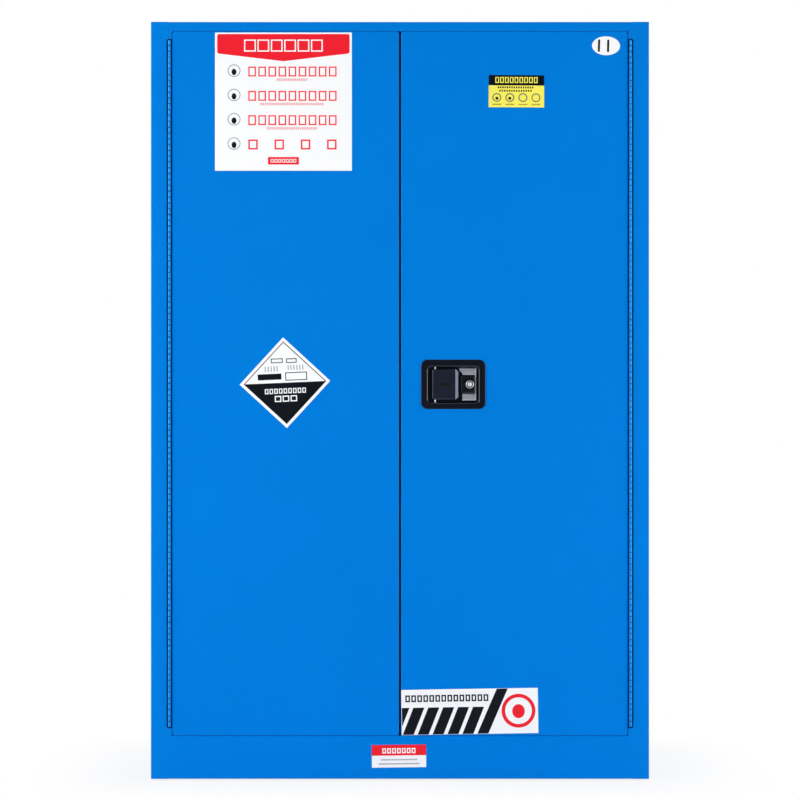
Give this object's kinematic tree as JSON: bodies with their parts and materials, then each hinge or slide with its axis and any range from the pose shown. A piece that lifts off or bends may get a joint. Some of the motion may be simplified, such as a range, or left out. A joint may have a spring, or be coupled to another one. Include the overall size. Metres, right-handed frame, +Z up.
{
  "type": "safety cabinet",
  "caption": "Tall double-walled steel safety cabinet with two full-height doors on continuous hinges, a recessed paddle handle with key lock, shelves, spill sump, vents and levelling feet.",
  "frame": {"origin": "on the floor, under the middle of the cabinet's bounding box", "axes": "+Z up along the height, +X to the right of someone facing the doors, doors face -Y"},
  "size_m": [1.12, 0.4648, 1.66],
  "materials": {
    "blue_paint": "semi-gloss powder coat",
    "galvanised": "galvanised",
    "bright_steel": "bright",
    "black_enamel": "satin black enamel",
    "rubber": "matte",
    "brass": "turned",
    "nylon": "moulded"
  },
  "bodies": {
    "cabinet_body": {"base_rail": "blue_paint", "door_seal": "rubber", "door_stop_frame": "blue_paint", "earth_stud": "brass", "flame_arrestor_left": "brass", "flame_arrestor_right": "brass", "header_rail": "blue_paint", "hinge_frame_leaf_left": "blue_paint", "hinge_frame_leaf_right": "blue_paint", "hinge_pin_left": "bright_steel", "hinge_pin_right": "bright_steel", "inner_back_and_top": "blue_paint", "inner_side_left": "blue_paint", "inner_side_right": "blue_paint", "outer_back": "blue_paint", "outer_bottom": "blue_paint", "outer_side_left": "blue_paint", "outer_side_right": "blue_paint", "outer_top": "blue_paint", "shelf_bracket_lower_left": "galvanised", "shelf_bracket_lower_right": "galvanised", "shelf_bracket_upper_left": "galvanised", "shelf_bracket_upper_right": "galvanised", "shelf_lower": "galvanised", "shelf_standard_back_left": "galvanised", "shelf_standard_back_right": "galvanised", "shelf_standard_front_left": "galvanised", "shelf_standard_front_right": "galvanised", "shelf_upper": "galvanised", "sump_pan": "blue_paint", "vent_cap_left": "galvanised", "vent_cap_right": "galvanised", "vent_tube_left": "galvanised", "vent_tube_right": "galvanised"},
    "door_left": {"door_skin_left": "blue_paint", "door_liner_left": "blue_paint", "edge_seal": "rubber", "hinge_door_leaf_left": "blue_paint"},
    "door_right": {"door_skin_right": "blue_paint", "door_liner_right": "blue_paint", "hinge_door_leaf_right": "blue_paint", "handle_tray": "black_enamel", "paddle_pin": "bright_steel", "finger_plate": "bright_steel", "lock_housing": "black_enamel", "lock_cylinder": "bright_steel", "latch_case": "galvanised", "rod_guide_top": "nylon", "rod_guide_bottom": "nylon", "lock_cover": "blue_paint"},
    "paddle": {"paddle": "black_enamel"},
    "release_slide": {"release_slide": "galvanised"},
    "key_rotor": {"lock_plug": "bright_steel"},
    "lock_rod_top": {"lock_rod_top": "galvanised"},
    "lock_rod_bottom": {"lock_rod_bottom": "galvanised"},
    "meeting_bolt": {"meeting_bolt": "bright_steel"},
    "foot_front_left": {"foot_front_left": "galvanised"},
    "foot_back_left": {"foot_back_left": "galvanised"},
    "foot_front_right": {"foot_front_right": "galvanised"},
    "foot_back_right": {"foot_back_right": "galvanised"}
  },
  "joints": [
    {"name": "door_left_hinge", "type": "hinge", "parent": "cabinet_body", "child": "door_left", "pos_m": [-0.5044, -0.2291, 0.867], "axis": [0, 0, -1], "range_deg": [0, 180]},
    {"name": "door_right_hinge", "type": "hinge", "parent": "cabinet_body", "child": "door_right", "pos_m": [0.5044, -0.2291, 0.867], "axis": [0, 0, 1], "range_deg": [0, 180]},
    {"name": "paddle_pivot", "type": "hinge", "parent": "door_right", "child": "paddle", "pos_m": [0.0766, -0.2216, 0.867], "axis": [0, 0, -1], "range_deg": [0, 30], "stiffness_Nm_per_rad": 0.6, "springref_deg": -17.19},
    {"name": "release_travel", "type": "slide", "parent": "door_right", "child": "release_slide", "axis": [1, 0, 0], "range_m": [0, 0.0113]},
    {"name": "key_turn", "type": "hinge", "parent": "door_right", "child": "key_rotor", "pos_m": [0.1528, -0.21, 0.867], "axis": [0, -1, 0], "range_deg": [0, 90.5]},
    {"name": "top_rod_travel", "type": "slide", "parent": "door_right", "child": "lock_rod_top", "axis": [0, 0, 1], "range_m": [0, 0.012]},
    {"name": "bottom_rod_travel", "type": "slide", "parent": "door_right", "child": "lock_rod_bottom", "axis": [0, 0, -1], "range_m": [0, 0.0121]},
    {"name": "meeting_bolt_travel", "type": "slide", "parent": "door_right", "child": "meeting_bolt", "axis": [-1, 0, 0], "range_m": [0, 0.0121]},
    {"name": "foot_front_left_height", "type": "slide", "parent": "cabinet_body", "child": "foot_front_left", "axis": [0, 0, -1], "range_m": [0, 0.02]},
    {"name": "foot_back_left_height", "type": "slide", "parent": "cabinet_body", "child": "foot_back_left", "axis": [0, 0, -1], "range_m": [0, 0.02]},
    {"name": "foot_front_right_height", "type": "slide", "parent": "cabinet_body", "child": "foot_front_right", "axis": [0, 0, -1], "range_m": [0, 0.02]},
    {"name": "foot_back_right_height", "type": "slide", "parent": "cabinet_body", "child": "foot_back_right", "axis": [0, 0, -1], "range_m": [0, 0.02]}
  ],
  "couplings": [
    {"joint": "release_travel", "follows": "paddle_pivot", "m_per_rad": 0.02139},
    {"joint": "bottom_rod_travel", "follows": "top_rod_travel", "ratio": 1},
    {"joint": "meeting_bolt_travel", "follows": "top_rod_travel", "ratio": 1},
    {"joint": "key_turn", "follows": "top_rod_travel", "rad_per_m": 130.9}
  ]
}
